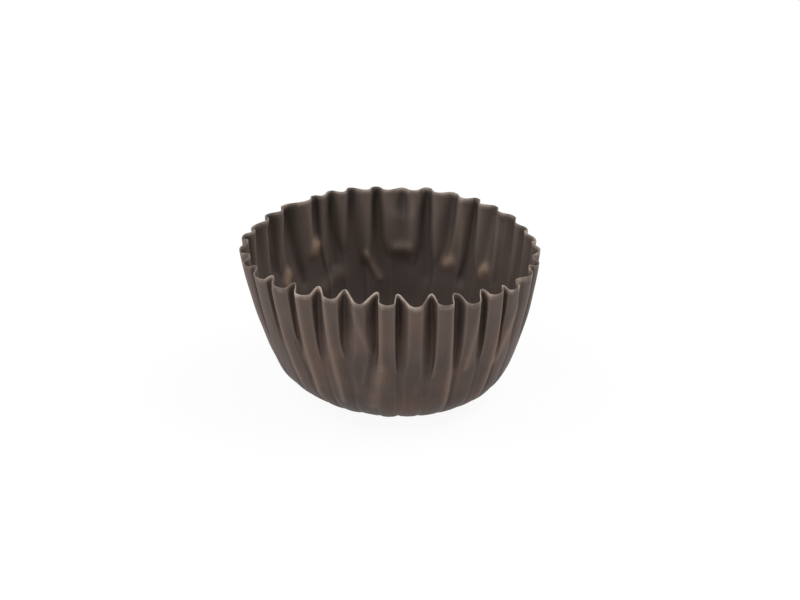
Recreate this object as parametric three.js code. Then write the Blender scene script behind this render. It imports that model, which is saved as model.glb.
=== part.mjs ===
// Paper candy cup: one disc of thin dark brown paper pressed into a small round cup.
// The middle of the disc stays flat and is the base. Outside it the paper turns up
// through a round heel into a steep wall. The wall is narrower than the disc was, so
// its spare paper is folded: flat facets outside, with grooves between them that lean
// to one side, as pressed pleats do. The grooves run out half way down the wall, and a
// pressed crease goes on from each one to the base. Millimetres, +Z up, and the origin
// is the middle of the face that the cup stands on. Angles run from the front, -Y,
// towards +X.
import * as THREE from 'three';

const paperThickness = 0.1;
const discDiameter = 62; // the sheet before it was pressed
const standDiameter = 15.8; // the part of the base that lies flat
const heelRadius = 7.3; // round between the base and the wall
const heelLean = 20.4; // degrees off upright, where the wall leaves the heel
const rimLean = 5.2; // degrees off upright, at the rim
const grooveDepth = 2.1; // at the rim
const grooveLength = 9.6; // from the rim down to where a groove runs out
const creaseDepth = 0.16; // of the pressed crease below a groove
const foldLean = 15; // degrees above level along which a groove goes inwards
const fluteCount = 32;
const creaseShare = 0.24; // share of a flute that its crease takes at the base
const cornerShare = 0.14; // share of the groove's side that rounds a facet's corner
const cornerDrop = 0.1; // share of the groove's depth that such a corner drops
const facetCrown = 0.04; // share of the depth that a facet's middle stands out

// The disc was pressed a little off its centre, so the wall is taller on one side.
const offCentre = { size: 0.5, at: 257 };

// A pressed cup springs a little out of round: lobes round the cup, how far they
// stand out, and the angle of one of them, in degrees.
const rimLobes = [
  { lobes: 2, size: 0.33, at: 104 },
  { lobes: 3, size: 0.58, at: 54 },
];
const heelLobes = [{ lobes: 2, size: 0.5, at: 45 }];

// No two flutes are pressed quite alike. For each: degrees that its facet stands off
// its even place, the share of the flute that the facet takes, the share of the groove
// after it that the inner fold takes, the share of the full depth that this groove has,
// degrees that its fold leans to one side, how much further it runs down, and how far the
// facet's edge stands above the even rim.
const firstFacet = -2;
const facetDrift = [
  -0.2, 0.1, 0.8, 1.1, 0, -1.5, -1.6, -1.8, -2, -2, -2, -2, -0.9, -1.8, -1.6, -1.2,
  -2.3, -2.4, -2.5, -4.6, -7.8, -1.4, -1.5, -1, -0.9, -0.5, -0.3, 0, 0.6, -0.3, 0.2, 0.4,
];
const facetShare = [
  0.58, 0.4, 0.5, 0.48, 0.6, 0.58, 0.5, 0.46, 0.44, 0.36, 0.34, 0.3, 0.26, 0.3, 0.25, 0.3,
  0.24, 0.3, 0.26, 0.32, 0.26, 0.34, 0.36, 0.4, 0.48, 0.46, 0.5, 0.55, 0.58, 0.54, 0.42, 0.32,
];
const foldShare = [
  0.22, 0.14, 0.5, 0.3, 0.42, 0.35, 0.45, 0.3, 0.4, 0.3, 0.3, 0.4, 0.3, 0.42, 0.35, 0.38,
  0.42, 0.3, 0.38, 0.3, 0.5, 0.35, 0.3, 0.4, 0.3, 0.45, 0.35, 0.3, 0.3, 0.2, 0.15, 0.25,
];
const depthShare = [
  1, 1, 1, 0.85, 0.6, 0.5, 0.5, 0.5, 0.45, 0.45, 0.5, 0.6, 0.75, 0.85, 0.95, 0.95,
  0.85, 0.95, 0.9, 0.5, 0.8, 0.8, 0.7, 0.65, 0.55, 0.6, 0.55, 0.65, 0.75, 0.9, 1, 1,
];
const foldDrift = [
  -1.5, 2.6, 1, 2.3, 1.4, -0.8, 1.2, -1.4, 0.9, 1.6, -1.2, 0.6, 1.3, -1.5, 0.8, -0.6,
  1.4, -1, 0.5, 1.2, -1.4, 0.9, -0.7, 1.3, -0.9, 0.6, -1.5, -1.8, -1.8, -2.4, -2.5, 1.7,
];
const grooveDrop = [
  0.4, 1.3, 0.2, 0, 0.5, -0.6, 0.3, -0.4, 0.6, -0.8, 0.2, 0.5, -0.5, 0.9, -0.3, 0.4,
  -0.9, 0.6, -1.2, 0.8, 0.1, -0.7, 0.5, -0.2, 0.7, -0.5, 0.3, -0.6, -0.4, 0.3, -0.9, -0.2,
];
const edgeRise = [
  0.2, 0, 0, -0.35, 0.1, -0.3, 0.1, 0, 0.25, 0.1, 0.05, 0.25, 0.15, 0.15, 0, 0,
  -0.3, -0.15, 0.05, 0.1, 0, 0.2, 0.1, -0.1, 0.15, 0, -0.15, -0.2, 0, 0, 0.3, 0.1,
];

const heelRows = 4;
const wallRows = 6;

const radians = THREE.MathUtils.degToRad;
const lerp = THREE.MathUtils.lerp;
const smoothstep = THREE.MathUtils.smoothstep;
const discRadius = discDiameter / 2;
const standRadius = standDiameter / 2;
const heelTurn = radians(90 - heelLean);
const rimTurn = radians(90 - rimLean);
const heelEnd = standRadius + heelRadius * heelTurn; // measured along the paper

// The facets' own surface, as if the cup had no grooves, at a distance along the paper
// from the disc's middle: radius, height and how far the paper has turned up from flat.
function plainCup(along) {
  if (along <= standRadius) {
    return { radius: along, height: 0, turn: 0 };
  }
  const turned = Math.min((along - standRadius) / heelRadius, heelTurn);
  const heel = {
    radius: standRadius + heelRadius * Math.sin(turned),
    height: heelRadius * (1 - Math.cos(turned)),
    turn: turned,
  };
  if (along <= heelEnd) {
    return heel;
  }
  // The wall is one shallow arc, so each point of it is at the end of a chord.
  const length = along - heelEnd;
  const turn = lerp(heelTurn, rimTurn, length / (discRadius - heelEnd));
  const half = (turn - heelTurn) / 2;
  const chord = half === 0 ? length : (length * Math.sin(half)) / half;
  return {
    radius: heel.radius + chord * Math.cos(heelTurn + half),
    height: heel.height + chord * Math.sin(heelTurn + half),
    turn,
  };
}

function outOfRound(lobeList, angle) {
  return lobeList.reduce(
    (sum, { lobes, size, at }) => sum + size * Math.cos(lobes * (angle - radians(at))),
    0,
  );
}

const listed = (list, flute) => list[(flute % fluteCount) % list.length];

const facetAngle = (flute) =>
  radians(firstFacet + (360 * flute) / fluteCount + listed(facetDrift, flute));

// How far a groove has opened, from 0 where it runs out to 1 at the rim, and how deep
// it is there: quick at first, then more slowly.
function grooveAt(along, edge, drop) {
  const length = grooveLength + drop;
  const opened = THREE.MathUtils.clamp((along - edge + length) / length, 0, 1);
  const pressed = smoothstep(along, standRadius, heelEnd);
  return { opened, depth: lerp(creaseDepth * pressed, grooveDepth, opened ** 0.75) };
}

// One flute from the middle of its facet to the middle of the next. Each column of
// points has an angle, as a function of how far its groove has opened, its share of the
// groove's depth, how far the groove runs down and how high the paper's edge stands.
function fluteColumns(flute) {
  const facet = facetAngle(flute);
  const pitch = facetAngle(flute + 1) - facet;
  const left = facet + (pitch * listed(facetShare, flute)) / 2;
  const right = facet + pitch * (1 - listed(facetShare, flute + 1) / 2);
  const middle = facet + pitch / 2;
  const fold = (left + right) / 2 + radians(listed(foldDrift, flute));
  const foldWidth = (right - left) * listed(foldShare, flute);
  const deep = listed(depthShare, flute);
  const drop = listed(grooveDrop, flute);
  const dropBefore = listed(grooveDrop, flute + fluteCount - 1);
  const here = listed(edgeRise, flute);
  const next = listed(edgeRise, flute + 1);
  const widen = (opened) => Math.min(1, opened / 0.3) ** 0.6;
  const side = (sign) => (opened) =>
    lerp(middle + (sign * pitch * creaseShare) / 2, sign < 0 ? left : right, widen(opened));
  const tip = (sign) => (opened) =>
    lerp(middle, fold, widen(opened)) + (sign * foldWidth * opened) / 2 +
    (sign * pitch * creaseShare * 0.1);
  const corner = (sign) => (opened) =>
    lerp(side(sign)(opened), tip(sign)(opened), cornerShare);
  const column = (angle, inward, rise) => ({ angle, inward, drop, rise });
  return [
    { angle: () => facet, inward: -facetCrown, drop: (drop + dropBefore) / 2, rise: here },
    column(side(-1), 0, here),
    column(corner(-1), deep * cornerDrop, here),
    column(tip(-1), deep, (here + next) / 2),
    column(tip(1), deep, (here + next) / 2),
    column(corner(1), deep * cornerDrop, next),
    column(side(1), 0, next),
  ];
}

// A point in the middle of the paper's thickness, with Y up as a lathe has it. The wall
// rows are shares of the way from the heel to the paper's own edge in that column.
function paperPoint(column, row) {
  const near = column.angle(1);
  const edge =
    discRadius + offCentre.size * Math.cos(near - radians(offCentre.at)) + column.rise;
  const along = row.wall === 0 ? row.heel : lerp(heelEnd, edge, row.wall);
  const { radius, height, turn } = plainCup(along);
  const { opened, depth } = grooveAt(along, edge, column.drop);
  const angle = column.angle(opened);
  const up = (along - standRadius) / (discRadius - standRadius);
  const round =
    outOfRound(rimLobes, angle) * up * up +
    outOfRound(heelLobes, angle) * Math.sin(Math.PI * Math.sqrt(Math.min(up, 1)));
  const lean = Math.max(Math.PI / 2 - turn, radians(foldLean));
  const inward = column.inward * depth;
  const reach = radius + round - inward * Math.cos(lean);
  return new THREE.Vector3(
    reach * Math.sin(angle),
    height + inward * Math.sin(lean) + paperThickness / 2,
    reach * Math.cos(angle),
  );
}

function unitStep(from, to) {
  return new THREE.Vector3().subVectors(to, from).normalize();
}

// The two faces of the paper: each point of the middle moved half a thickness along
// the paper's own normal, which points into the cup.
function paperFaces(columns, rows) {
  const middle = columns.map((column) => rows.map((row) => paperPoint(column, row)));
  const count = columns.length;
  return middle.map((line, i) =>
    line.map((point, j) => {
      const before = middle[(i + count - 1) % count][j];
      const after = middle[(i + 1) % count][j];
      const round = unitStep(before, point).add(unitStep(point, after));
      const below = line[Math.max(j - 1, 0)];
      const above = line[Math.min(j + 1, line.length - 1)];
      const rise = unitStep(below, above);
      const normal = new THREE.Vector3().crossVectors(rise, round).normalize();
      return {
        outer: point.clone().addScaledVector(normal, -paperThickness / 2),
        inner: point.clone().addScaledVector(normal, paperThickness / 2),
      };
    }),
  );
}

// The rings of points: the heel's at distances along the paper, then the wall's.
function ringRows() {
  const rows = [];
  for (let i = 0; i <= heelRows; i++) {
    rows.push({ heel: lerp(standRadius, heelEnd, i / heelRows), wall: 0 });
  }
  for (let i = 1; i <= wallRows; i++) {
    rows.push({ heel: heelEnd, wall: i / wallRows });
  }
  return rows;
}

// The plain cup is turned on a lathe, up its outside and down its inside, and each of
// its points then moves to its place on the fluted paper.
function flutedCup() {
  const columns = [];
  for (let flute = 0; flute < fluteCount; flute++) {
    columns.push(...fluteColumns(flute));
  }
  const rows = ringRows();
  const faces = paperFaces(columns, rows);
  const outline = rows.map((row) => {
    const { radius, height } = plainCup(lerp(row.heel, discRadius, row.wall));
    return new THREE.Vector2(radius, height);
  });
  const inside = outline.map((p) => new THREE.Vector2(p.x, p.y + paperThickness));
  const section = [
    new THREE.Vector2(0, 0),
    ...outline,
    ...inside.reverse(),
    new THREE.Vector2(0, paperThickness),
  ];
  const geometry = new THREE.LatheGeometry(section, columns.length);
  const position = geometry.getAttribute('position');
  for (let i = 0; i <= columns.length; i++) {
    const line = faces[i % columns.length];
    const placed = [...line.map((p) => p.outer), ...line.map((p) => p.inner).reverse()];
    placed.forEach((p, j) => {
      position.setXYZ(i * section.length + j + 1, p.x, p.y, p.z);
    });
  }
  geometry.computeVertexNormals();
  return geometry;
}

const brownPaper = new THREE.MeshStandardMaterial({
  color: 0x5a4b44,
  roughness: 0.55,
  metalness: 0,
  side: THREE.DoubleSide,
});

const cup = new THREE.Mesh(flutedCup(), brownPaper);
cup.name = 'fluted_cup';
cup.rotation.x = Math.PI / 2; // the lathe turns about Y, and the cup stands along Z

const candyCup = new THREE.Group();
candyCup.name = 'paper_candy_cup';
candyCup.add(cup);

export default candyCup;
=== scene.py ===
import math
import bpy
import numpy as np
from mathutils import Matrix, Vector


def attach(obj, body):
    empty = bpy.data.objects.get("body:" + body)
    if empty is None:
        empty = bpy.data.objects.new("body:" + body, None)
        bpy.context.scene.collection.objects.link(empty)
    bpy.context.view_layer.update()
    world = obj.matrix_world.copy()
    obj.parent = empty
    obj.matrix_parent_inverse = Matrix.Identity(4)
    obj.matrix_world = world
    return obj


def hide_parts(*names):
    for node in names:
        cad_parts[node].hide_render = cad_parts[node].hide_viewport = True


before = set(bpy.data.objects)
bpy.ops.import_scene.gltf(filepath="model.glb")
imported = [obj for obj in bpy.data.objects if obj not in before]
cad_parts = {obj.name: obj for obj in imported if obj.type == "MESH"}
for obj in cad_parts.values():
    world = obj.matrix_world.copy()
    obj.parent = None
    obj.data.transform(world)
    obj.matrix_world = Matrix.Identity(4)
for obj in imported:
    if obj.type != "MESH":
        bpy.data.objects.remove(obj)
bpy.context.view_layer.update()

# A small fluted paper cup on a pale floor. Metres, +Z up, and the camera looks along +Y.
# Angles round the cup run from the front, -Y, towards +X.

scene = bpy.context.scene
scene.view_settings.view_transform = "Standard"
mm = 0.001


class Sock:
    # a node's socket, so that sums on it add Math nodes
    def __init__(self, tree, socket):
        self.tree = tree
        self.socket = socket

    def math(self, operation, *values, clamp=False):
        settings = dict(operation=operation, use_clamp=clamp)
        return self.tree.add("ShaderNodeMath", settings, dict(enumerate(values)))[0]

    def __add__(self, other):
        return self.math("ADD", self, other)

    def __radd__(self, other):
        return self.math("ADD", other, self)

    def __sub__(self, other):
        return self.math("SUBTRACT", self, other)

    def __rsub__(self, other):
        return self.math("SUBTRACT", other, self)

    def __mul__(self, other):
        return self.math("MULTIPLY", self, other)

    def __rmul__(self, other):
        return self.math("MULTIPLY", other, self)

    def __truediv__(self, other):
        return self.math("DIVIDE", self, other)

    def __rtruediv__(self, other):
        return self.math("DIVIDE", other, self)

    def __pow__(self, other):
        return self.math("POWER", self, other)

    def clip(self):
        # held to 0..1
        return self.math("ADD", self, 0.0, clamp=True)


class Tree:
    # the nodes of one material or world
    def __init__(self, owner):
        owner.use_nodes = True
        self.nodes = owner.node_tree.nodes
        self.links = owner.node_tree.links
        self.nodes.clear()

    def add(self, kind, settings=None, inputs=None):
        node = self.nodes.new(kind)
        for name, value in (settings or {}).items():
            setattr(node, name, value)
        for name, value in (inputs or {}).items():
            if isinstance(value, Sock):
                self.links.new(value.socket, node.inputs[name])
            else:
                node.inputs[name].default_value = value
        return NodeOut(self, node)


class NodeOut:
    # a node's outputs by name or number
    def __init__(self, tree, node):
        self.tree = tree
        self.node = node

    def __getitem__(self, name):
        return Sock(self.tree, self.node.outputs[name])


def opaque(colour):
    return (*colour, 1.0)


view = dict(
    target=(0.00095, 0.0, 0.01108),
    elevation=25.7,         # degrees above level
    distance=0.305,
    lens=111.15,            # mm, on the sensor's width
    sensor=36.0,
    nearest=0.01,           # the camera shows nothing nearer than this
    farthest=20.0,
)

cameraData = bpy.data.cameras.new("camera")
camera = bpy.data.objects.new("camera", cameraData)
scene.collection.objects.link(camera)
rise = math.radians(view["elevation"])
target = Vector(view["target"])
camera.location = target + view["distance"] * Vector((0, -math.cos(rise), math.sin(rise)))
camera.rotation_euler = (target - camera.location).to_track_quat("-Z", "Y").to_euler()
cameraData.sensor_width = view["sensor"]
cameraData.lens = view["lens"]
cameraData.clip_start = view["nearest"]
cameraData.clip_end = view["farthest"]
scene.camera = camera
print("camera set")


cup = dict(
    paper=0.0001,           # thickness
    discRadius=0.0310,      # of the sheet before it was pressed
    standRadius=0.0079,     # the part of the base that lies flat
    heelRadius=0.0073,
    heelLean=20.4,          # degrees off upright where the wall leaves the heel
    rimLean=5.2,            # and at the rim
    flutes=32,
    firstFacet=-2.0,        # degrees
    rows=(7, 18, 34),       # rings in the base, the heel and the wall
    columnsPerSpan=3,       # from one corner of a flute to the next
    corners=7,              # of a flute: facet, side, corner, fold, fold, corner, side
    # grooves
    grooveDepth=0.0021,     # at the rim
    grooveLength=0.0096,    # from the rim down to where a groove runs out
    groovePower=0.75,       # below 1 a groove deepens sooner on its way up
    widenOver=0.3,          # share of its length over which it opens out of its crease
    widenPower=0.6,
    foldLean=15.0,          # degrees above level along which a groove goes inwards
    creaseDepth=0.00006,    # of the pressed crease below a groove
    creaseShare=0.30,       # share of a flute that its crease takes at the base
    creaseBottom=0.2,       # share of a crease that its bottom takes
    # facets
    crown=0.03,             # how far a facet's middle stands out, share of the depth
    roll=0.12,              # how far one edge of a facet is rolled in, share of the depth
    rollGain=2.0,           # how fast the roll comes in away from the front and the sides
    cornerPlace=0.14,       # share of the way from a facet's edge to the fold
    cornerDepth=0.1,        # and the share of the depth there
    # rounding, as smoothing passes across the folds
    softness=4,
    rearSoftness=8,         # more of them at the rear
    rearAtSides=0.7,        # how far the sides have these too, 0..1 before smoothing
    rearGain=0.8,           # and what that gains to the rear and loses to the front
    # the cut edge
    foldDip=0.00022,        # how far it dips at the rear folds
    facetDip=0.00028,       # and in the middle of a front facet
    offCentre=(0.0005, 257.0),      # how far the press was off the sheet's middle, and where
    offCentrePast=0.3,      # taken so much of a flute past its facet
    # out of round, as how many lobes, how far and where
    rimLobes=((2, 0.00033, 104.0), (3, 0.00058, 54.0)),
    heelLobes=((2, 0.0005, 45.0),),
    # crumples
    crumple=0.000035,       # height of the small dents
    crumpleLow=1.15,        # share of it at the base
    crumpleLoss=0.8,        # and what that loses on the way to the rim
    dentRise=8.0,           # how fast dents and lines come in on the way up
    swell=0.00010,          # how far a flute stands out between its creases
    fromCrease=(1, 0.75, 0.35, 0.05, 0.05, 0.35, 0.75),     # each corner's distance, 0..1
    swellPower=0.7,
    swellLevel=0.8,         # the distance at which the paper neither swells nor sinks
    swellUneven=0.6,
    swellFrom=0.16,         # share of the way up at which it swells in full
    swellTo=0.45,           # and from which that fades
    swellFade=0.3,
)

# distance along the paper from the middle of the base to the end of the heel
heelEnd = cup["standRadius"] + cup["heelRadius"] * math.radians(90 - cup["heelLean"])

# How each flute differs, from the first facet on.
# degrees that its facet stands off its even place
facetDrift = np.array([
    -0.2, 0.1, 0.8, 1.1, 0, -1.5, -1.6, -1.8, -2, -2, -2, -2, -0.9, -1.8, -1.6, -1.2,
    -2.3, -2.4, -2.5, -4.6, -7.8, -1.4, -1.5, -1, -0.9, -0.5, -0.3, 0, 0.6, -0.3, 0.2, 0.4])
# share of the flute that the facet takes
facetShare = np.array([
    0.58, 0.4, 0.5, 0.48, 0.6, 0.58, 0.5, 0.46, 0.44, 0.36, 0.34, 0.3, 0.26, 0.3, 0.25, 0.3,
    0.24, 0.3, 0.26, 0.32, 0.26, 0.34, 0.36, 0.4, 0.48, 0.46, 0.5, 0.55, 0.58, 0.54, 0.42, 0.32])
# share of the groove after it that the inner fold takes
foldShare = np.array([
    0.22, 0.14, 0.5, 0.3, 0.42, 0.35, 0.45, 0.3, 0.4, 0.3, 0.3, 0.4, 0.3, 0.42, 0.35, 0.38,
    0.42, 0.3, 0.38, 0.3, 0.5, 0.35, 0.3, 0.4, 0.3, 0.45, 0.35, 0.3, 0.3, 0.2, 0.15, 0.25])
# share of the full depth that this fold has
depthShare = np.array([
    1, 1, 1, 0.85, 0.6, 0.5, 0.5, 0.5, 0.45, 0.45, 0.5, 0.6, 0.75, 0.85, 0.95, 0.95,
    0.85, 0.95, 0.9, 0.5, 0.8, 0.8, 0.7, 0.65, 0.55, 0.6, 0.55, 0.65, 0.75, 0.9, 1, 1])
# degrees that it leans to one side
foldDrift = np.array([
    -1.5, 2.6, 1, 2.3, 1.4, -0.8, 1.2, -1.4, 0.9, 1.6, -1.2, 0.6, 1.3, -1.5, 0.8, -0.6,
    1.4, -1, 0.5, 1.2, -1.4, 0.9, -0.7, 1.3, -0.9, 0.6, -1.5, -1.8, -1.8, -2.4, -2.5, 1.7])
# mm that the groove runs further down
grooveDrop = np.array([
    0.4, 1.3, 0.2, 0, 0.5, -0.6, 0.3, -0.4, 0.6, -0.8, 0.2, 0.5, -0.5, 0.9, -0.3, 0.4,
    -0.9, 0.6, -1.2, 0.8, 0.1, -0.7, 0.5, -0.2, 0.7, -0.5, 0.3, -0.6, -0.4, 0.3, -0.9, -0.2])
# mm that the paper's edge stands up at the facet
edgeRise = np.array([
    0.2, 0, 0, -0.35, 0.1, -0.3, 0.1, 0, 0.25, 0.1, 0.05, 0.25, 0.15, 0.15, 0, 0,
    -0.3, -0.15, 0.05, 0.1, 0, 0.2, 0.1, -0.1, 0.15, 0, -0.15, -0.2, 0, 0, 0.3, 0.1])

# Lines and dents pressed into the paper, each as: degrees round the cup and mm from the
# middle of the sheet where it starts, the same where it ends, its half width in mm, mm
# that it stands out of the cup, or below 0 into it, and how much painted highlight lightens
# it, outside the cup or, below 0, inside.
# a line that sinks into one side of the paper has painted shade there
pressedLines = [
    # ridges that go on from the facets' edges down to the heel, with painted highlights
    (-63.5, 28.0, -61.5, 18.0, 0.45, 0.12, 0.2),
    (-50.0, 30.5, -49.0, 17.0, 0.40, 0.16, 0.3),
    (-38.5, 31.0, -37.5, 16.0, 0.40, 0.16, 0.3),
    (-27.3, 31.0, -24.0, 16.0, 0.40, 0.18, 0.3),
    (-15.8, 30.0, -8.2, 23.4, 0.50, 0.16, 0.1),
    (-4.6, 30.0, -4.6, 22.0, 0.35, 0.10, 0.2),
    (-4.6, 22.0, -8.5, 16.0, 0.70, 0.22, 0.25),
    (24.8, 31.0, 25.3, 15.5, 0.40, 0.20, 0.35),
    (36.5, 30.5, 32.0, 21.0, 0.40, 0.12, 0.2),
    (47.8, 30.5, 44.5, 14.5, 0.45, 0.20, 0.35),
    (58.8, 30.0, 48.5, 20.5, 0.45, 0.14, 0.3),
    # creases beside them
    (-7.6, 24.5, -10.5, 19.5, 0.45, -0.18, 0),
    (1.5, 24.0, 3.2, 17.5, 0.45, -0.08, 0),
    (15.2, 22.5, 13.5, 18.0, 0.50, -0.10, 0),
    (27.6, 27.0, 27.4, 15.5, 0.40, -0.16, 0),
    (-21.0, 23.0, -18.5, 18.0, 0.50, -0.10, 0),
    (-43.5, 23.5, -41.5, 18.0, 0.45, -0.14, 0),
    # deeper middles of three front grooves
    (-7.2, 30.5, -6.2, 24.5, 1.00, -0.22, 0),
    (3.2, 30.0, 3.0, 25.0, 0.60, -0.15, 0),
    (16.2, 30.0, 15.4, 23.5, 0.90, -0.18, 0),
    # painted highlights along the front edge
    (4.5, 31.1, 8.0, 31.1, 0.35, 0, 0.75),
    (-10.5, 31.1, -6.5, 31.1, 0.30, 0, 0.60),
    (-19.5, 31.2, -15.5, 31.0, 0.35, 0, 0.60),
    (-31.5, 31.3, -29.0, 31.2, 0.30, 0, 0.45),
    (16.5, 31.1, 19.0, 31.1, 0.30, 0, 0.50),
    (28.0, 31.1, 31.5, 31.0, 0.30, 0, 0.60),
    (39.5, 31.0, 42.0, 31.0, 0.35, 0, 0.70),
    # toes of the rear pleats, which bulge into the cup, with painted highlights inside
    (216.5, 24.6, 218.0, 23.9, 0.85, -0.50, -0.8),
    (172.5, 22.8, 178.5, 22.8, 0.70, -0.40, -0.35),
    (176.0, 26.8, 175.5, 23.6, 1.40, -0.80, 0),
    (152.0, 21.9, 154.0, 21.6, 0.70, -0.45, -0.95),
    (132.0, 22.4, 133.5, 21.9, 0.75, -0.45, -0.9),
    (235.0, 22.2, 236.5, 21.4, 0.80, -0.45, -0.9),
    (192.5, 22.2, 186.5, 19.0, 0.45, -0.35, -0.35),
    (206.0, 20.0, 214.0, 18.5, 0.90, -0.30, -0.1),
    # rear ridges that lead to the toes, with painted highlights inside
    (221.0, 30.0, 218.0, 25.0, 0.60, -0.15, -0.35),
    (149.0, 30.0, 152.5, 22.5, 0.50, -0.20, -0.22),
    (131.0, 29.5, 132.8, 22.5, 0.50, -0.15, -0.15),
    (237.5, 30.5, 235.3, 22.5, 0.50, -0.15, -0.20),
    # channels between them
    (232.0, 30.0, 225.3, 20.3, 0.65, 0.28, 0),
    (144.8, 29.5, 144.8, 20.0, 0.65, 0.28, 0),
    (125.0, 29.5, 124.8, 21.5, 0.50, 0.24, 0),
    (186.5, 29.5, 187.0, 19.5, 0.65, 0.20, 0),
    (166.0, 29.5, 163.2, 19.5, 0.75, 0.22, 0),
    (248.0, 30.0, 243.0, 23.5, 0.50, 0.22, 0),
    (206.5, 29.5, 207.5, 21.5, 0.50, 0.18, 0),
]


def blend(first, second, share):
    # first + (second - first) * share
    return first + (second - first) * share


def smooth01(x):
    # 3x^2 - 2x^3, held to 0..1
    x = np.clip(x, 0, 1)
    return x * x * (3 - 2 * x)


def lobed(lobes, angle):
    # sum of size * cos(count * (angle - place))
    return sum(size * np.cos(count * (angle - math.radians(place)))
               for count, size, place in lobes)


def waves(angle, along, seed, count, low, high):
    # sum of seeded waves, whole numbers of them round the cup, scaled to about +-1
    rng = np.random.default_rng(seed)
    total = np.zeros(np.broadcast(angle, along).shape)
    for _ in range(count):
        turns = rng.integers(low, high)
        rate = rng.uniform(-1, 1) * high / 0.017    # about as short upwards as round
        phase = rng.uniform(0, 6.283)
        total += np.sin(turns * angle + rate * along + phase)
    return total / math.sqrt(count)


def pressedOut(angle, along, radius):
    # sums over the lines of out and of painted highlight, each * exp(-(distance to the line /
    # half width)^2)
    total, paintedHighlight = np.zeros_like(along), np.zeros_like(along)
    for startAngle, startAlong, endAngle, endAlong, width, out, highlightShare in pressedLines:
        turn = np.degrees(angle) - startAngle
        x = np.radians((turn + 180) % 360 - 180) * radius / mm
        y = along / mm - startAlong
        stepX = math.radians(endAngle - startAngle) * radius / mm
        stepY = endAlong - startAlong
        share = (x * stepX + y * stepY) / (stepX ** 2 + stepY ** 2 + 1e-9)
        share = np.clip(share, 0, 1)
        away = (x - share * stepX) ** 2 + (y - share * stepY) ** 2
        near = np.exp(-away / width ** 2)
        total += out * mm * near
        paintedHighlight += highlightShare * near
    return total, paintedHighlight


def plainCup(along):
    # radius, height, turn = the integral of cos, sin of the turn over the distance
    # along the paper; the turn is 0 on the base, distance / heelRadius in the heel,
    # and goes evenly from the heel's last turn to the rim's in the wall
    heelTurn = math.radians(90 - cup["heelLean"])
    rimTurn = math.radians(90 - cup["rimLean"])
    stand, bend = cup["standRadius"], cup["heelRadius"]
    turned = np.clip((along - stand) / bend, 0, heelTurn)
    length = np.maximum(along - heelEnd, 0)
    half = 0.5 * (rimTurn - heelTurn) * length / (cup["discRadius"] - heelEnd)
    chord = length * np.sinc(half / np.pi)
    radius = np.minimum(along, stand) + bend * np.sin(turned) + chord * np.cos(heelTurn + half)
    height = bend * (1 - np.cos(turned)) + chord * np.sin(heelTurn + half)
    return radius, height, turned + 2 * half


def edgeOfSheet(facet, pitch, middle):
    # the sheet's radius at a flute's seven corners = the disc's, and what the edge
    # rises or dips there, and the cosine of being pressed off its middle
    rise = edgeRise * mm
    nextRise = np.roll(rise, -1)
    foldRise = (rise + nextRise) / 2 - cup["foldDip"] * smooth01(-np.cos(middle))
    facetRise = rise - cup["facetDip"] * smooth01(np.cos(facet))
    rises = [facetRise, rise, rise, foldRise, foldRise, nextRise, nextRise]
    size, place = cup["offCentre"]
    shifted = size * np.cos(facet + pitch * cup["offCentrePast"] - math.radians(place))
    return cup["discRadius"] + np.stack(rises, axis=1) + shifted[:, None]


def cornerGrid():
    # rings of each flute's corners; opened = 0..1 from where the groove runs out up to
    # the rim, and the angles go from the crease's to the flute's own as
    # (opened / widenOver)^widenPower
    facet = cup["firstFacet"] + 360.0 * np.arange(cup["flutes"]) / cup["flutes"]
    facet = np.radians(facet + facetDrift)
    pitch = np.append(facet[1:], facet[0] + 2 * np.pi) - facet
    left = facet + pitch * facetShare / 2
    right = facet + pitch * (1 - np.roll(facetShare, -1) / 2)
    middle = facet + pitch / 2
    fold = (left + right) / 2 + np.radians(foldDrift)

    corner = cup["cornerDepth"]
    inward = depthShare[:, None] * np.array([0, 0, corner, 1, 1, corner, 0])
    inward[:, 0] -= cup["crown"]
    # a facet's edge is rolled in on the side that looks to the front, in full from 30
    # to 60 degrees round
    gain = cup["rollGain"]
    side = np.sin(facet) * smooth01(np.cos(facet) * gain)
    inward[:, 1:3] += cup["roll"] * np.clip(-side * gain, 0, 1)[:, None]
    inward[:, 5:7] += cup["roll"] * np.clip(side * gain, 0, 1)[:, None]

    edge = edgeOfSheet(facet, pitch, middle)
    base, heel, wall = cup["rows"]
    low = np.concatenate([np.linspace(0, cup["standRadius"], base + 1)[1:-1],
                          np.linspace(cup["standRadius"], heelEnd, heel + 1)[:-1]])
    lower = np.broadcast_to(low[:, None, None], (len(low), *edge.shape))
    upper = heelEnd + np.linspace(0, 1, wall + 1)[:, None, None] * (edge - heelEnd)
    along = np.concatenate([lower, upper])

    drop = grooveDrop * mm
    drops = [(drop + np.roll(drop, 1)) / 2] + [drop] * (cup["corners"] - 1)
    length = cup["grooveLength"] + np.stack(drops, axis=1)
    opened = np.clip((along - edge + length) / length, 0, 1)

    widen = np.minimum(1, opened / cup["widenOver"]) ** cup["widenPower"]
    crease = cup["creaseShare"] * pitch / 2
    foldPlace = blend(middle, fold, widen[:, :, 3])
    foldHalf = (right - left) * foldShare * opened[:, :, 3] / 2 + crease * cup["creaseBottom"]
    angle = np.empty_like(along)
    angle[:, :, 0] = facet
    angle[:, :, 1] = blend(middle - crease, left, widen[:, :, 1])
    angle[:, :, 3] = foldPlace - foldHalf
    angle[:, :, 4] = foldPlace + foldHalf
    angle[:, :, 6] = blend(middle + crease, right, widen[:, :, 6])
    angle[:, :, 2] = blend(angle[:, :, 1], angle[:, :, 3], cup["cornerPlace"])
    angle[:, :, 5] = blend(angle[:, :, 6], angle[:, :, 4], cup["cornerPlace"])
    return [np.broadcast_to(values, along.shape).reshape(len(along), -1)
            for values in (angle, inward, along, opened, edge)]


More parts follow.
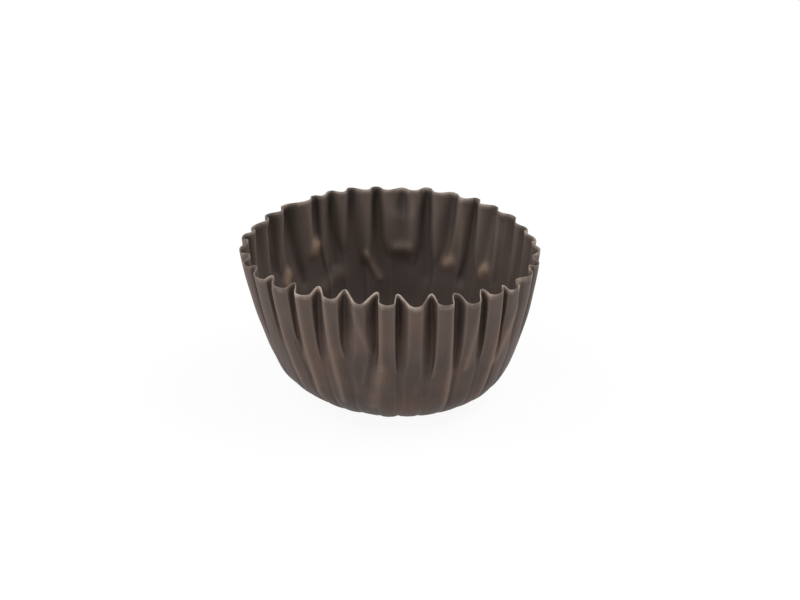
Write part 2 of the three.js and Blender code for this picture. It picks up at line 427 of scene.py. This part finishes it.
def addColumns(values, count, gain=0.0):
    # count columns for each one, evenly on the way to the next; gain is what the values
    # grow by in a full turn
    following = np.concatenate([values[:, 1:], values[:, :1] + gain], axis=1)
    share = np.arange(count) / count
    added = values[:, :, None] * (1 - share) + following[:, :, None] * share
    return added.reshape(len(values), -1)


def soften(values, gain=0.0):
    # half of a column's own value and a quarter of each neighbour's
    before = np.roll(values, 1, axis=1)
    before[:, 0] -= gain
    after = np.roll(values, -1, axis=1)
    after[:, -1] += gain
    return 0.5 * values + 0.25 * (before + after)


def roundedGrid():
    # the corners' grid with more columns, smoothed across the folds, and again at the rear
    gains = (2 * np.pi, 0, 0, 0, 0)
    grid = [addColumns(values, cup["columnsPerSpan"], gain)
            for values, gain in zip(cornerGrid(), gains)]
    for _ in range(cup["softness"]):
        grid = [soften(values, gain) for values, gain in zip(grid, gains)]
    rounder = grid
    for _ in range(cup["rearSoftness"]):
        rounder = [soften(values, gain) for values, gain in zip(rounder, gains)]
    rear = smooth01(cup["rearAtSides"] - cup["rearGain"] * np.cos(grid[0]))
    angle, inward, along, opened, edge = (
        blend(front, back, rear) for front, back in zip(grid, rounder))
    # rounding sinks the facets, so the whole wall goes out again by as much there
    columns = cup["corners"] * cup["columnsPerSpan"]
    sunken = addColumns(inward[:, ::columns], columns)
    return angle, inward - sunken * rear, along, opened, edge


def perFlute(values):
    # a row of columns from one value for each corner
    return addColumns(np.asarray(values)[None, :], cup["columnsPerSpan"])


def swellOut(angle, up):
    # swell * (distance from the crease^swellPower - swellLevel), low on the wall, and
    # more at some flutes than at others
    fromCrease = perFlute(np.tile(cup["fromCrease"], cup["flutes"]))
    fade = smooth01((up - cup["swellTo"]) / cup["swellFade"])
    low = smooth01(up / cup["swellFrom"]) * (1 - fade)
    uneven = 1 + cup["swellUneven"] * waves(angle, 0, seed=5, count=5, low=5, high=17)
    return cup["swell"] * low * (fromCrease ** cup["swellPower"] - cup["swellLevel"]) * uneven


def paperSheet():
    # middle(column, ring) = the facets' own surface, less the column's share of the
    # groove's depth there, which goes inwards and a little up, plus what swells and
    # dents stand out square to the paper. The depth is
    # crease + (grooveDepth - crease) * opened^groovePower
    angle, inward, along, opened, edge = roundedGrid()
    radius, height, turn = plainCup(along)
    stand = cup["standRadius"]
    up = np.clip((along - stand) / (cup["discRadius"] - stand), 0, 1.1)    # about 1 at the rim
    crease = cup["creaseDepth"] * smooth01((along - stand) / (heelEnd - stand))
    opened = opened ** cup["groovePower"]
    into = inward * blend(crease, cup["grooveDepth"], opened)
    lean = np.maximum(np.pi / 2 - turn, math.radians(cup["foldLean"]))
    outOfRound = (lobed(cup["rimLobes"], angle) * up ** 2
                  + lobed(cup["heelLobes"], angle) * np.sin(np.pi * np.sqrt(np.minimum(up, 1))))

    # small dents, strongest in the lower wall, and no dent or line where the cup stands
    lines, paintedHighlight = pressedOut(angle, along, radius)
    dents = (waves(angle, along, seed=3, count=14, low=5, high=24)
             * (cup["crumpleLow"] - cup["crumpleLoss"] * up))
    dented = (cup["crumple"] * dents + lines) * np.clip(up * cup["dentRise"], 0, 1)
    out = dented + swellOut(angle, up)
    r = radius + outOfRound - into * np.cos(lean) + out * np.sin(turn)
    z = height + into * np.sin(lean) - out * np.cos(turn)
    nearDepth = (depthShare + np.roll(depthShare, -1)) / 2
    return dict(
        middle=np.stack([r * np.sin(angle), -r * np.cos(angle), z], axis=-1),
        up=up,
        toEdge=edge - along,
        opened=opened,
        sunk=inward * opened,
        depthHere=perFlute(np.repeat(nearDepth, cup["corners"])),
        lines=lines / mm,
        paintedHighlight=paintedHighlight,
    )


def gridNormals(points):
    # cross product of the steps round and up, pointing into the cup
    aroundStep = np.roll(points, -1, axis=1) - np.roll(points, 1, axis=1)
    upStep = np.gradient(points, axis=0)
    normal = np.cross(upStep, aroundStep)
    normal /= np.linalg.norm(normal, axis=-1, keepdims=True) + 1e-12
    toAxis = -points[..., :2] / (np.linalg.norm(points[..., :2], axis=-1, keepdims=True) + 1e-9)
    inward = (normal[..., :2] * toAxis).sum(-1) + normal[..., 2]
    return normal * np.sign(np.median(inward))


def foldSharpness(points, normal):
    # bend across a column over the distance between its neighbours, above 0 on a ridge
    before, after = np.roll(points, 1, axis=1), np.roll(points, -1, axis=1)
    step = np.linalg.norm(after - before, axis=-1)
    return ((before + after - 2 * points) * normal).sum(-1) / (step + 1e-6)


def closedShell(outer, inner, outerPole, innerPole):
    # outer skin up, inner skin down, joined at the rim, with a fan at each pole
    rings, columns = outer.shape[:2]
    grid = np.concatenate([outer, inner[::-1]], axis=0)
    points = np.concatenate([grid.reshape(-1, 3), [outerPole, innerPole]])
    i, j = np.meshgrid(np.arange(2 * rings - 1), np.arange(columns), indexing="ij")
    k = (j + 1) % columns
    quads = np.stack([i * columns + j, i * columns + k,
                      (i + 1) * columns + k, (i + 1) * columns + j], axis=-1).reshape(-1, 4)
    j = np.arange(columns)
    k = (j + 1) % columns
    pole = 2 * rings * columns
    last = pole - columns
    low = np.stack([np.full(columns, pole), k, j], axis=-1)
    high = np.stack([np.full(columns, pole + 1), last + j, last + k], axis=-1)
    return points, quads, np.concatenate([low, high])


def shellValues(outer, inner, poles=(0, 0)):
    # a grid of values for each skin, in the order of closedShell's points
    return np.concatenate([outer.ravel(), inner[::-1].ravel(), poles])


def makeMesh(name, points, quads, triangles):
    mesh = bpy.data.meshes.new(name)
    mesh.from_pydata(points.tolist(), [], quads.tolist() + triangles.tolist())
    mesh.polygons.foreach_set("use_smooth", np.ones(len(mesh.polygons), dtype=bool))
    mesh.update()
    piece = bpy.data.objects.new(name, mesh)
    scene.collection.objects.link(piece)
    return piece


def makeCup():
    # each skin = the sheet's middle, half the paper's thickness along its normal
    sheet = paperSheet()
    middle, opened, sunk = sheet["middle"], sheet["opened"], sheet["sunk"]
    normal = gridNormals(middle)
    outer = middle - normal * cup["paper"] / 2
    inner = middle + normal * cup["paper"] / 2
    lowest = outer[..., 2].min()
    outer[..., 2] -= lowest
    inner[..., 2] -= lowest
    flat = sheet["up"][:, 0] <= 0
    outer[flat, :, 2] = 0
    inner[flat, :, 2] = cup["paper"]
    points, quads, triangles = closedShell(outer, inner, (0, 0, 0), (0, 0, cup["paper"]))
    piece = makeMesh("cup_paper", points, quads, triangles)

    sharp = foldSharpness(outer, normal)
    # the material paints shade and highlights into the colour from some of these
    attributes = dict(
        ridge=shellValues(sharp, -sharp),
        toEdge=shellValues(sheet["toEdge"], sheet["toEdge"]),
        # 0 on top of a fold, 1 down between two, on either side of the paper
        hollow=shellValues(sunk * sheet["depthHere"], opened - sunk),
        opened=shellValues(opened, opened),
        inside=shellValues(np.zeros_like(sunk), np.ones_like(sunk), (0, 1)),
        pressed=shellValues(-sheet["lines"], sheet["lines"]),
        paintedHighlight=shellValues(sheet["paintedHighlight"], -sheet["paintedHighlight"]),
    )
    for name, values in attributes.items():
        layer = piece.data.attributes.new(name, "FLOAT", "POINT")
        layer.data.foreach_set("value", np.ascontiguousarray(values, dtype=np.float32))
    return piece


paperLook = dict(
    # colours
    body=(0.0665, 0.0465, 0.0405),
    warm=(0.087, 0.0515, 0.0375),   # stains
    dark=(0.046, 0.032, 0.027),     # clouds
    inner=(0.155, 0.122, 0.106),    # the cup's inside, made lighter as painted light
    deep=(0.030, 0.022, 0.019),     # where little light comes
    light=(0.145, 0.109, 0.091),    # painted light on the tops of folds, and wear with painted highlight at sharp folds
    # tan painted highlight on pressed lines, toes and the front edge
    paintedHighlight=(0.230, 0.155, 0.108),
    edge=(0.33, 0.268, 0.224),      # where the paper was cut
    # how far the colour goes to one of them
    insideInk=0.70,         # to inner, on the cup's inside, as painted light
    hollowInk=0.46,         # to deep, down between two folds, as painted shade
    hollowPower=0.7,        # below 1 this starts nearer the top of a fold
    insideHollowInk=0.38,   # and so much more inside
    lowInk=0.62,            # to deep, low down inside, as painted shade
    lowEnd=1.3,             # which fades up a groove, faster above 1
    pressedInk=0.45,        # to deep, where a line is pressed in, as painted shade
    pressedGain=2.5,        # for each mm
    raisedInk=0.22,         # to the fold colour, on top of a fold, as painted light
    insideRaisedInk=0.55,   # and so much more inside
    wornInk=0.5,            # to the fold colour where a fold is sharp: wear and painted highlight
    wornGain=5.0,
    wornFrom=0.12,
    cutInk=0.1,             # to edge, along the cut
    frayedInk=0.6,          # and so much more where it is frayed
    rubbedInk=1.7,          # and so much more where a painted highlight lies along it
    cutWidth=0.00075,       # metres down from the cut
    # noises, as scale, detail and roughness, and the contrast that makes patches of them
    fibre=(2600.0, 4.0, 0.65),
    cloud=(260.0, 3.0, 0.55),
    cloudContrast=2.4,
    stain=(110.0, 2.0, 0.5),
    stainContrast=3.0,
    fray=(520.0, 2.0, 0.5),
    frayContrast=6.0,
    frayLevel=0.45,         # below 0.5 less than half of the cut is frayed
    # finish
    roughness=0.55,
    fibreRoughness=0.22,    # how far it varies with the fibre
    cloudRoughness=0.2,
    specular=0.2,
    ior=1.45,
    coat=0.06,
    coatRoughness=0.3,
    bumpStrength=0.12,
    bumpDepth=0.00005,
)


def brownPaper():
    material = bpy.data.materials.new("brown_paper")
    tree = Tree(material)
    look = paperLook
    place = tree.add("ShaderNodeTexCoord")["Object"]

    def attribute(name):
        return tree.add("ShaderNodeAttribute", dict(attribute_name=name))["Fac"]

    def noise(name):
        scale, detail, roughness = look[name]
        inputs = {"Vector": place, "Scale": scale, "Detail": detail, "Roughness": roughness}
        return tree.add("ShaderNodeTexNoise", dict(noise_dimensions="3D"), inputs)["Fac"]

    def patches(values, contrast, level=0.5):
        # the noise with more contrast about its middle
        return ((values - 0.5) * contrast + level).clip()

    def mix(share, first, second):
        settings = dict(data_type="RGBA", blend_type="MIX")
        return tree.add("ShaderNodeMix", settings, {0: share, 6: first, 7: second})[2]

    hollow = attribute("hollow")
    opened = attribute("opened")
    inside = attribute("inside")
    paintedHighlight = attribute("paintedHighlight")
    cloud = noise("cloud")
    fibre = noise("fibre")

    # painted shade down between folds, more on the cup's inside
    sunk = (hollow.clip() ** look["hollowPower"]
            * (inside * look["insideHollowInk"] + look["hollowInk"]))
    # painted shade low down inside the cup, fading up the grooves
    low = inside * (1 - opened * look["lowEnd"]).clip() * look["lowInk"]
    # painted shade where a line is pressed into this side of the paper
    pressed = (attribute("pressed") * look["pressedGain"]).clip() * look["pressedInk"]
    # painted light on the tops of folds, more on the cup's inside
    paintedFoldLight = (opened - hollow).clip() * (inside * look["insideRaisedInk"] + look["raisedInk"])
    highlit = (paintedHighlight * (0.6 + cloud * 0.8)).clip()       # painted highlight, by 1 where the cloud is even
    # wear and painted highlight along sharp folds
    sharp = attribute("ridge") * look["wornGain"] - look["wornFrom"]
    wornAndHighlit = (sharp * (0.55 + fibre * 0.9)).clip() * look["wornInk"]
    # the cut's own lighter edge where the paper was cut, with painted highlight added where one
    # lies along it
    nearCut = (1 - attribute("toEdge") / look["cutWidth"]).clip()
    frayed = patches(noise("fray"), look["frayContrast"], look["frayLevel"])
    frayed = frayed * look["frayedInk"] + look["cutInk"]
    cut = (nearCut * (frayed + paintedHighlight.clip() * look["rubbedInk"])).clip()

    stained = patches(noise("stain"), look["stainContrast"])
    ink = mix(stained, opaque(look["body"]), opaque(look["warm"]))
    ink = mix(patches(cloud, look["cloudContrast"]), opaque(look["dark"]), ink)
    # each colour goes over those before it: painted light inside, painted shade in hollows, low
    # inside and in pressed lines, painted light on fold tops, painted highlights, wear with
    # painted highlight on sharp folds, and last the cut's edge
    for share, name in ((inside * look["insideInk"], "inner"), (sunk, "deep"), (low, "deep"),
                        (pressed, "deep"), (paintedFoldLight, "light"), (highlit, "paintedHighlight"),
                        (wornAndHighlit, "light"), (cut, "edge")):
        ink = mix(share, ink, opaque(look[name]))

    rough = (look["roughness"] + (fibre - 0.5) * look["fibreRoughness"]
             + (cloud - 0.5) * look["cloudRoughness"])
    bump = tree.add("ShaderNodeBump", None, {
        "Strength": look["bumpStrength"], "Distance": look["bumpDepth"],
        "Height": fibre * 0.6 + cloud * 0.4})["Normal"]
    shader = tree.add("ShaderNodeBsdfPrincipled", None, {
        "Base Color": ink, "Roughness": rough, "Normal": bump, "IOR": look["ior"],
        "Specular IOR Level": look["specular"], "Coat Weight": look["coat"],
        "Coat Roughness": look["coatRoughness"]})["BSDF"]
    tree.add("ShaderNodeOutputMaterial", None, {"Surface": shader})
    return material


cupPaper = makeCup()
cupPaper.data.materials.append(brownPaper())
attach(cupPaper, "root")
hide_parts("fluted_cup")
print("cup made:", len(cupPaper.data.polygons), "faces")


studio = dict(
    world=0.57,                     # strength of the light from all round
    floorColour=(0.7, 0.7, 0.7),
    floorWhite=0.93,                # how far the floor shows as plain white
    floorHalf=1.0,                  # half its side
    floorDrop=0.00005,              # below the base, so that the two don't share a plane
    lampAim=(0, 0, 0.01),
    # lamps, as place, power and size
    lamps=dict(
        key=((-0.37, -0.53, 0.20), 1.3, 0.25),
        right=((0.36, 0.02, 0.52), 3.4, 0.4),
        left=((-0.36, 0.02, 0.52), 2.3, 0.4),
    ),
)


def seenAsBackground(tree):
    # 1 for a ray from the camera, also by way of gloss or glass, and 0 for one of light
    rays = tree.add("ShaderNodeLightPath")
    return (rays["Is Camera Ray"] + rays["Is Glossy Ray"] + rays["Is Transmission Ray"]).clip()


def paleFloor():
    material = bpy.data.materials.new("pale_floor")
    tree = Tree(material)
    plain = tree.add("ShaderNodeBsdfDiffuse", None, {"Color": opaque(studio["floorColour"])})
    white = tree.add("ShaderNodeEmission", None, {"Color": opaque((1, 1, 1)), "Strength": 1.0})
    both = tree.add("ShaderNodeMixShader", None, {
        "Fac": seenAsBackground(tree) * studio["floorWhite"],
        1: plain["BSDF"], 2: white["Emission"]})
    tree.add("ShaderNodeOutputMaterial", None, {"Surface": both["Shader"]})
    return material


half, level = studio["floorHalf"], -studio["floorDrop"]
corners = [(-half, -half, level), (half, -half, level), (half, half, level), (-half, half, level)]
floorMesh = bpy.data.meshes.new("floor")
floorMesh.from_pydata(corners, [], [(0, 1, 2, 3)])
floor = bpy.data.objects.new("floor", floorMesh)
scene.collection.objects.link(floor)
floorMesh.materials.append(paleFloor())

world = bpy.data.worlds.new("studio")
scene.world = world
sky = Tree(world)
strength = seenAsBackground(sky) * (1 - studio["world"]) + studio["world"]
back = sky.add("ShaderNodeBackground", None, {"Color": opaque((1, 1, 1)), "Strength": strength})
sky.add("ShaderNodeOutputWorld", None, {"Surface": back["Background"]})

aim = Vector(studio["lampAim"])
for name, (lampPlace, power, size) in studio["lamps"].items():
    data = bpy.data.lights.new(name, "AREA")
    data.energy = power
    data.size = size
    lamp = bpy.data.objects.new(name, data)
    scene.collection.objects.link(lamp)
    lamp.location = lampPlace
    lamp.rotation_euler = (aim - lamp.location).to_track_quat("-Z", "Y").to_euler()
print("floor and light set")
